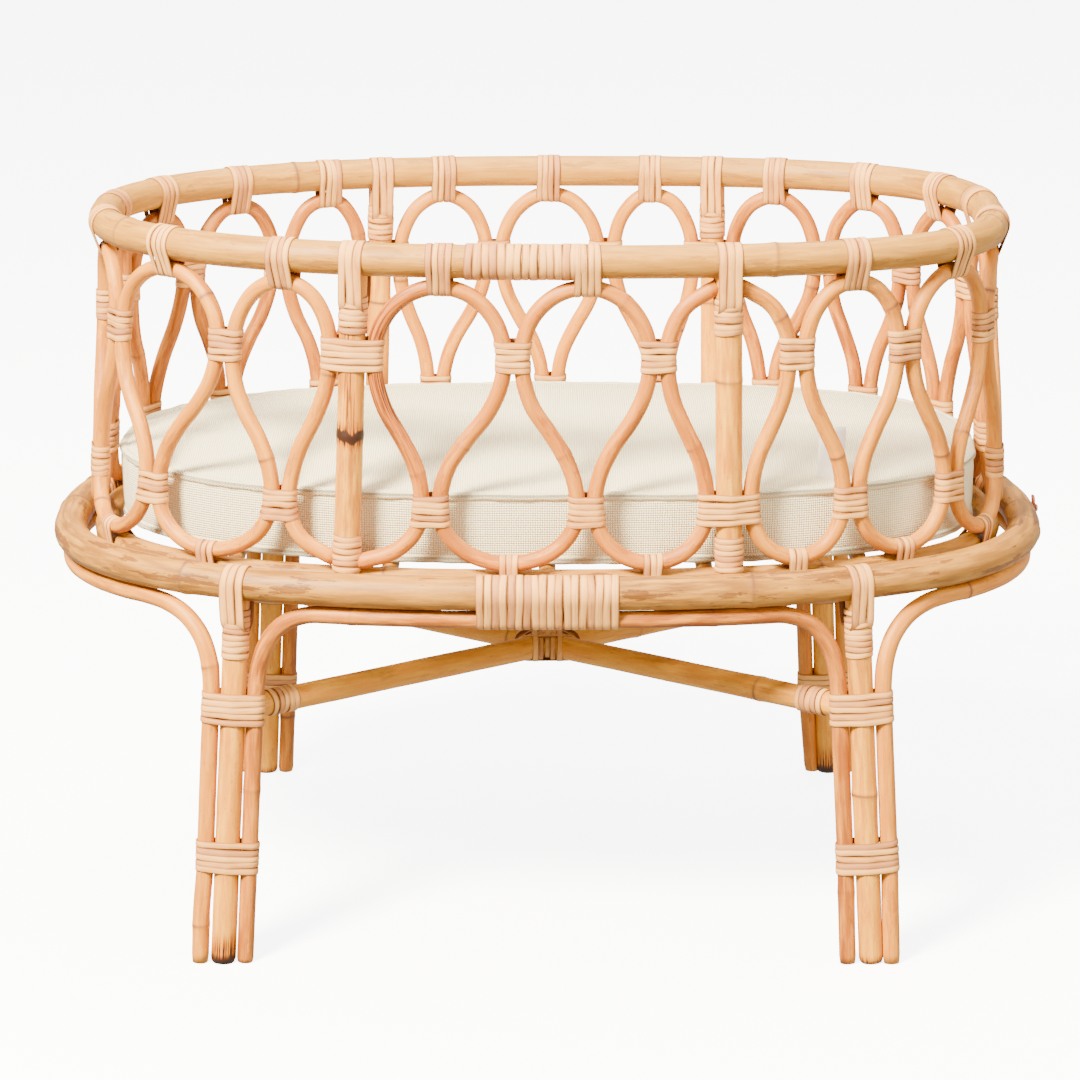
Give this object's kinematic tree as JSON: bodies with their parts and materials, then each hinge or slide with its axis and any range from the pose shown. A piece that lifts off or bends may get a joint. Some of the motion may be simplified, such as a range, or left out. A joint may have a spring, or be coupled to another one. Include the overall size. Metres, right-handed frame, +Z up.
{
  "type": "bassinet on stand",
  "caption": "Doll's bassinet of bent rattan: an oval basket with a looped open wall, a loose canvas mattress and a splayed, cross-braced stand with tripled legs.",
  "frame": {"origin": "on the floor below the middle of the bassinet", "axes": "+X along the length to the right, +Y to the back, +Z up; the front is at -Y"},
  "size_m": [0.548, 0.3286, 0.3866],
  "materials": {
    "honey_cane": "satin natural rattan",
    "straw_cane": "satin natural rattan",
    "pink_cane": "satin peeled rattan",
    "peeled_strip": "matte peeled cane strip",
    "canvas": "matte woven cotton canvas",
    "label_cloth": "matte ribbon",
    "tag_leather": "satin",
    "pin_brass": "satin"
  },
  "bodies": {
    "frame": {"base_hoop": "honey_cane", "brace_back": "pink_cane", "brace_front": "pink_cane", "brace_left": "pink_cane", "brace_right": "pink_cane", "cross_pole_left": "straw_cane", "cross_pole_right": "straw_cane", "lashing_cross_middle": "peeled_strip", "leg_back_left": "straw_cane", "leg_back_right": "straw_cane", "leg_front_left": "straw_cane", "leg_front_right": "straw_cane", "post_back_left": "straw_cane", "post_back_right": "straw_cane", "post_front_left": "straw_cane", "post_front_right": "straw_cane", "rim_hoop": "honey_cane", "slat_1": "honey_cane", "slat_2": "honey_cane", "slat_3": "honey_cane", "slat_4": "honey_cane", "slat_5": "honey_cane", "stand_hoop": "honey_cane", "strand_back": "pink_cane", "strand_front": "pink_cane", "strand_left_back": "pink_cane", "strand_left_front": "pink_cane", "strand_right_back": "pink_cane", "strand_right_front": "pink_cane", "tag": "tag_leather", "tag_pin": "pin_brass", "wrap_cross_back_left": "peeled_strip", "wrap_cross_back_right": "peeled_strip", "wrap_cross_front_left": "peeled_strip", "wrap_cross_front_right": "peeled_strip", "wrap_hoop_left": "peeled_strip", "wrap_hoop_right": "peeled_strip", "wrap_hoop_splice": "peeled_strip", "wrap_leg_lower_back_left": "peeled_strip", "wrap_leg_lower_back_right": "peeled_strip", "wrap_leg_lower_front_left": "peeled_strip", "wrap_leg_lower_front_right": "peeled_strip", "wrap_leg_top_back_left": "peeled_strip", "wrap_leg_top_back_right": "peeled_strip", "wrap_leg_top_front_left": "peeled_strip", "wrap_leg_top_front_right": "peeled_strip", "wrap_leg_upper_back_left": "peeled_strip", "wrap_leg_upper_back_right": "peeled_strip", "wrap_leg_upper_front_left": "peeled_strip", "wrap_leg_upper_front_right": "peeled_strip", "wrap_post_back_left": "peeled_strip", "wrap_post_back_right": "peeled_strip", "wrap_post_front_left": "peeled_strip", "wrap_post_front_right": "peeled_strip", "wrap_rim_splice": "peeled_strip"},
    "mattress": {"mattress": "canvas", "mattress_label": "label_cloth"}
  },
  "joints": [
    {"name": "mattress_lift", "type": "slide", "parent": "frame", "child": "mattress", "axis": [0, 0, 1], "range_m": [0, 0.3]}
  ]
}
